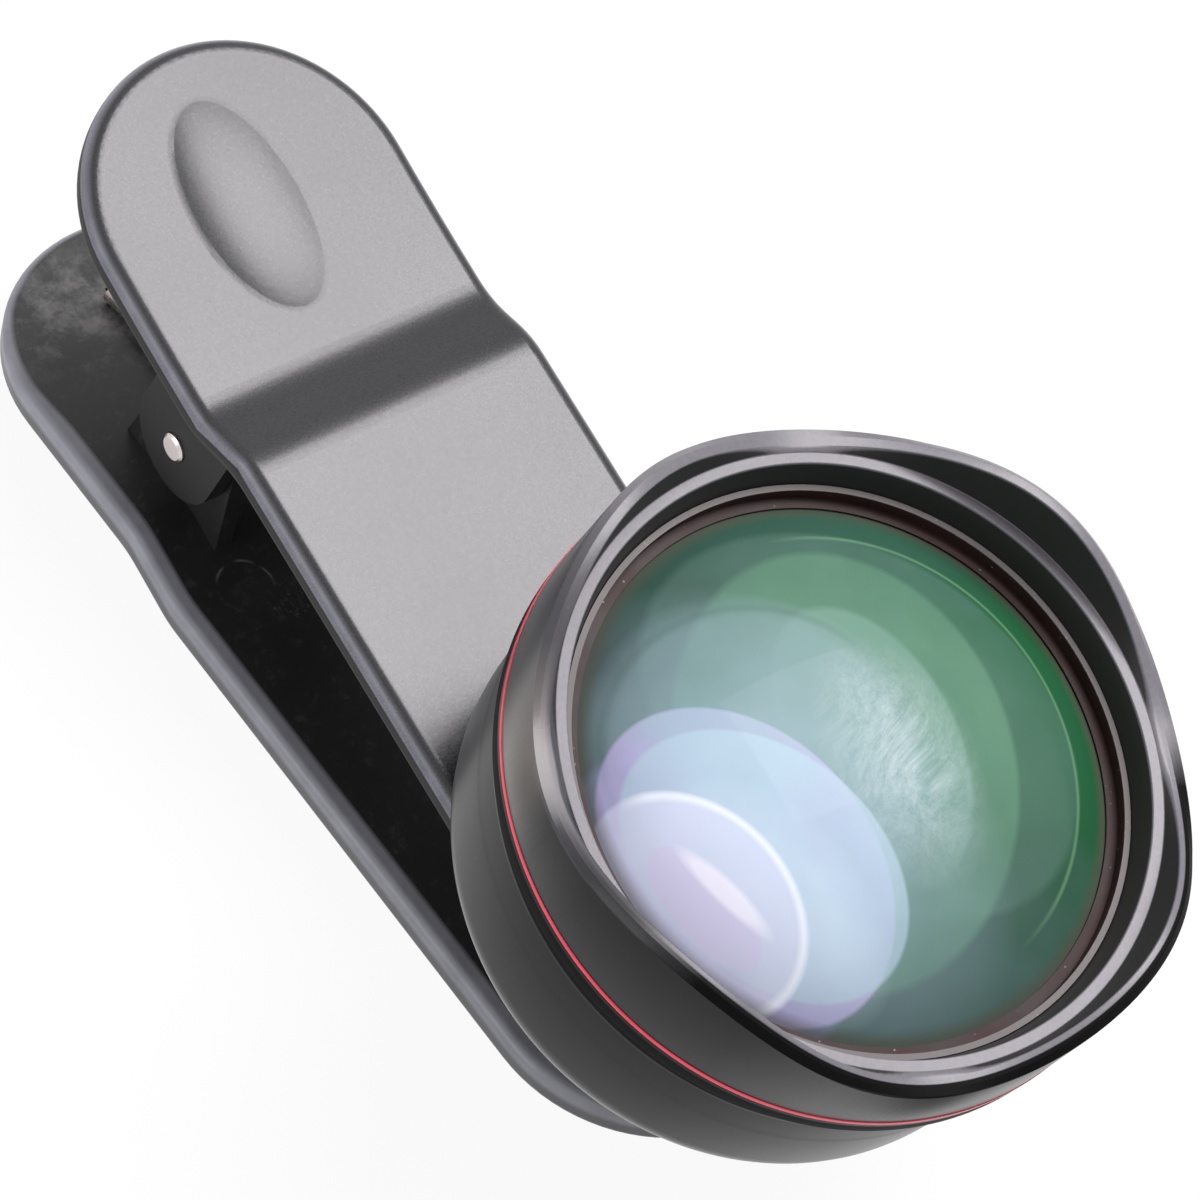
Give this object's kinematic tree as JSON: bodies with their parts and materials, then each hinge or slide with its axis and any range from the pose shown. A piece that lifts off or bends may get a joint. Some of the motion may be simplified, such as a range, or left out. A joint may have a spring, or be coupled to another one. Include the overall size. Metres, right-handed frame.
{
  "type": "clip-on phone lens",
  "caption": "Telephoto auxiliary lens with a wavy petal hood, screwed into a spring clip whose padded jaws hold it over a phone's camera.",
  "frame": {"origin": "on the back arm's flat outer face, at the centre of its rounded jaw end", "axes": "+Y along the back arm from the jaw to the thumb end, +Z out of that face towards the lens, +X along the hinge pin"},
  "size_m": [0.044, 0.1014, 0.047],
  "materials": {
    "arm_plastic": "fine moulded grain, satin",
    "pad_rubber": "matt",
    "pin_steel": "turned",
    "spring_steel": "drawn wire",
    "black_metal": "black anodised",
    "lens_metal": "dark grey anodised, satin",
    "red_metal": "red anodised",
    "coated_glass": "polished, green coating",
    "clear_glass": "polished",
    "black_plastic": "matt"
  },
  "bodies": {
    "back": {"back_arm": "arm_plastic", "back_jaw_pad": "pad_rubber", "hinge_pin": "pin_steel", "torsion_spring": "spring_steel"},
    "front": {"front_arm": "arm_plastic", "front_jaw_pad": "pad_rubber", "mount_ring": "black_metal"},
    "neck": {"mount_neck": "black_metal"},
    "lens": {"barrel": "lens_metal", "accent_ring": "red_metal", "petal_hood": "lens_metal", "front_retaining_ring": "black_metal", "front_element": "coated_glass", "front_flint_element": "clear_glass", "light_baffle": "black_plastic", "rear_cell": "black_metal", "rear_back_element": "clear_glass", "rear_spacer": "black_metal", "rear_front_element": "clear_glass", "rear_retaining_ring": "black_metal", "seat_washer": "pad_rubber"}
  },
  "joints": [
    {"name": "jaw_open", "type": "hinge", "parent": "back", "child": "front", "pos_m": [0, 0.04725, 0.01105], "axis": [-1, 0, 0], "range_deg": [0, 54], "stiffness_Nm_per_rad": 0.171, "springref_deg": -41.83, "deforming": ["torsion_spring"]},
    {"name": "lens_advance", "type": "slide", "parent": "front", "child": "neck", "axis": [0, -0.2432, 0.97], "range_m": [0, 0.0026]},
    {"name": "lens_unscrew", "type": "hinge", "parent": "neck", "child": "lens", "pos_m": [0, -0.00166, 0.01286], "axis": [0, -0.2432, 0.97], "range_deg": [0, 1800]}
  ],
  "couplings": [
    {"joint": "lens_advance", "follows": "lens_unscrew", "m_per_rad": 0.000079577}
  ]
}
